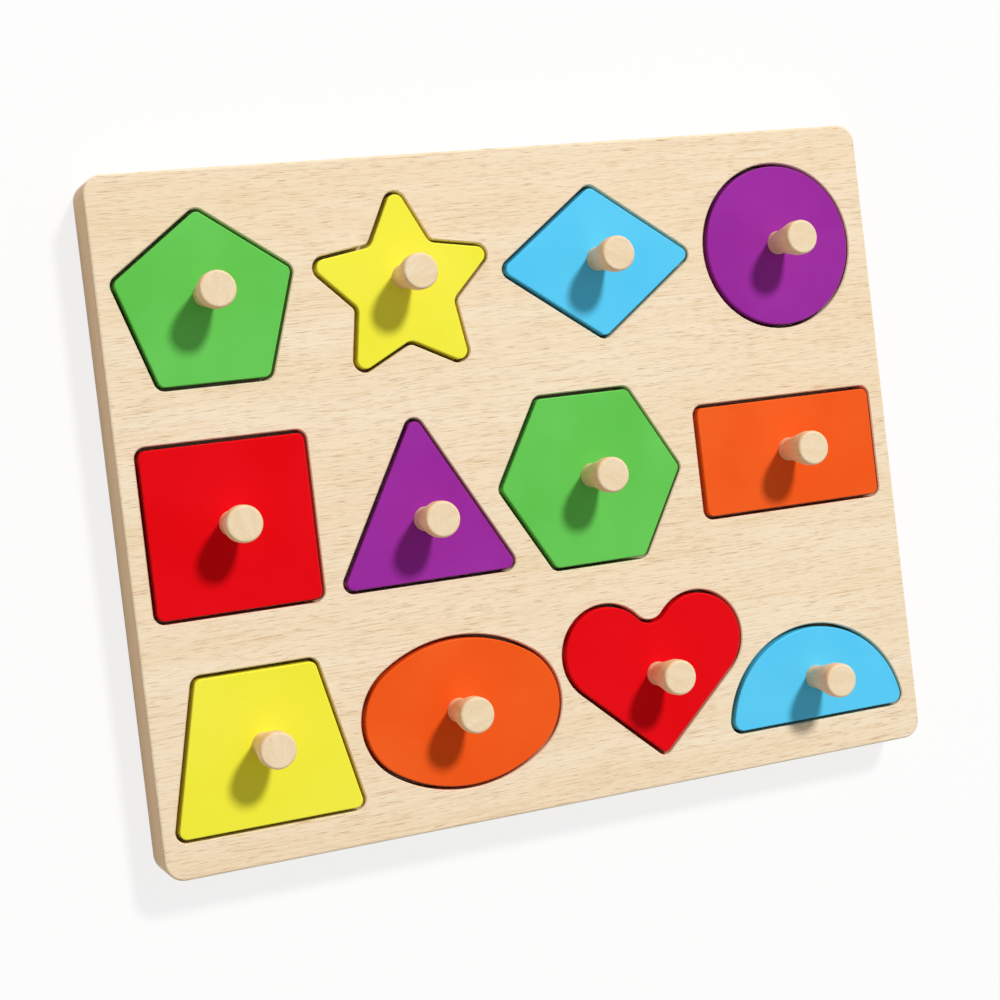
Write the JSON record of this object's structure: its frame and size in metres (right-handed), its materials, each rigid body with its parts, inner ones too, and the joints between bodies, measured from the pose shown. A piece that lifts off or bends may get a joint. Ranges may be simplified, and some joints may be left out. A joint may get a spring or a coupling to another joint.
{
  "type": "peg puzzle",
  "caption": "Rectangular wooden board with shaped pockets, each holding a painted geometric piece that lifts out by a turned wooden peg.",
  "frame": {"origin": "middle of the board's underside", "axes": "+X along the rows of shapes, the board's long side; +Y up the board, from the row of the heart to the row of the star; +Z out of the board's face, along the pegs"},
  "size_m": [0.3, 0.2402, 0.04],
  "materials": {
    "board_wood": "bare sanded beech, matt",
    "peg_wood": "bare turned beech, smooth",
    "green_paint": "wood painted green, smooth satin",
    "yellow_paint": "wood painted yellow, smooth satin",
    "blue_paint": "wood painted blue, smooth satin",
    "purple_paint": "wood painted purple, smooth satin",
    "red_paint": "wood painted red, smooth satin",
    "orange_paint": "wood painted orange, smooth satin"
  },
  "bodies": {
    "board": {"panel": "board_wood", "backing": "board_wood"},
    "pentagon": {"pentagon_piece": "green_paint", "pentagon_peg": "peg_wood"},
    "star": {"star_piece": "yellow_paint", "star_peg": "peg_wood"},
    "rhombus": {"rhombus_piece": "blue_paint", "rhombus_peg": "peg_wood"},
    "disc": {"disc_piece": "purple_paint", "disc_peg": "peg_wood"},
    "square": {"square_piece": "red_paint", "square_peg": "peg_wood"},
    "triangle": {"triangle_piece": "purple_paint", "triangle_peg": "peg_wood"},
    "hexagon": {"hexagon_piece": "green_paint", "hexagon_peg": "peg_wood"},
    "rectangle": {"rectangle_piece": "orange_paint", "rectangle_peg": "peg_wood"},
    "trapezoid": {"trapezoid_piece": "yellow_paint", "trapezoid_peg": "peg_wood"},
    "oval": {"oval_piece": "orange_paint", "oval_peg": "peg_wood"},
    "heart": {"heart_piece": "red_paint", "heart_peg": "peg_wood"},
    "half_disc": {"half_disc_piece": "blue_paint", "half_disc_peg": "peg_wood"}
  },
  "joints": [
    {"name": "pentagon_lift", "type": "slide", "parent": "board", "child": "pentagon", "axis": [0, 0, 1], "range_m": [0, 0.04]},
    {"name": "star_lift", "type": "slide", "parent": "board", "child": "star", "axis": [0, 0, 1], "range_m": [0, 0.04]},
    {"name": "rhombus_lift", "type": "slide", "parent": "board", "child": "rhombus", "axis": [0, 0, 1], "range_m": [0, 0.04]},
    {"name": "disc_lift", "type": "slide", "parent": "board", "child": "disc", "axis": [0, 0, 1], "range_m": [0, 0.04]},
    {"name": "square_lift", "type": "slide", "parent": "board", "child": "square", "axis": [0, 0, 1], "range_m": [0, 0.04]},
    {"name": "triangle_lift", "type": "slide", "parent": "board", "child": "triangle", "axis": [0, 0, 1], "range_m": [0, 0.04]},
    {"name": "hexagon_lift", "type": "slide", "parent": "board", "child": "hexagon", "axis": [0, 0, 1], "range_m": [0, 0.04]},
    {"name": "rectangle_lift", "type": "slide", "parent": "board", "child": "rectangle", "axis": [0, 0, 1], "range_m": [0, 0.04]},
    {"name": "trapezoid_lift", "type": "slide", "parent": "board", "child": "trapezoid", "axis": [0, 0, 1], "range_m": [0, 0.04]},
    {"name": "oval_lift", "type": "slide", "parent": "board", "child": "oval", "axis": [0, 0, 1], "range_m": [0, 0.04]},
    {"name": "heart_lift", "type": "slide", "parent": "board", "child": "heart", "axis": [0, 0, 1], "range_m": [0, 0.04]},
    {"name": "half_disc_lift", "type": "slide", "parent": "board", "child": "half_disc", "axis": [0, 0, 1], "range_m": [0, 0.04]}
  ]
}
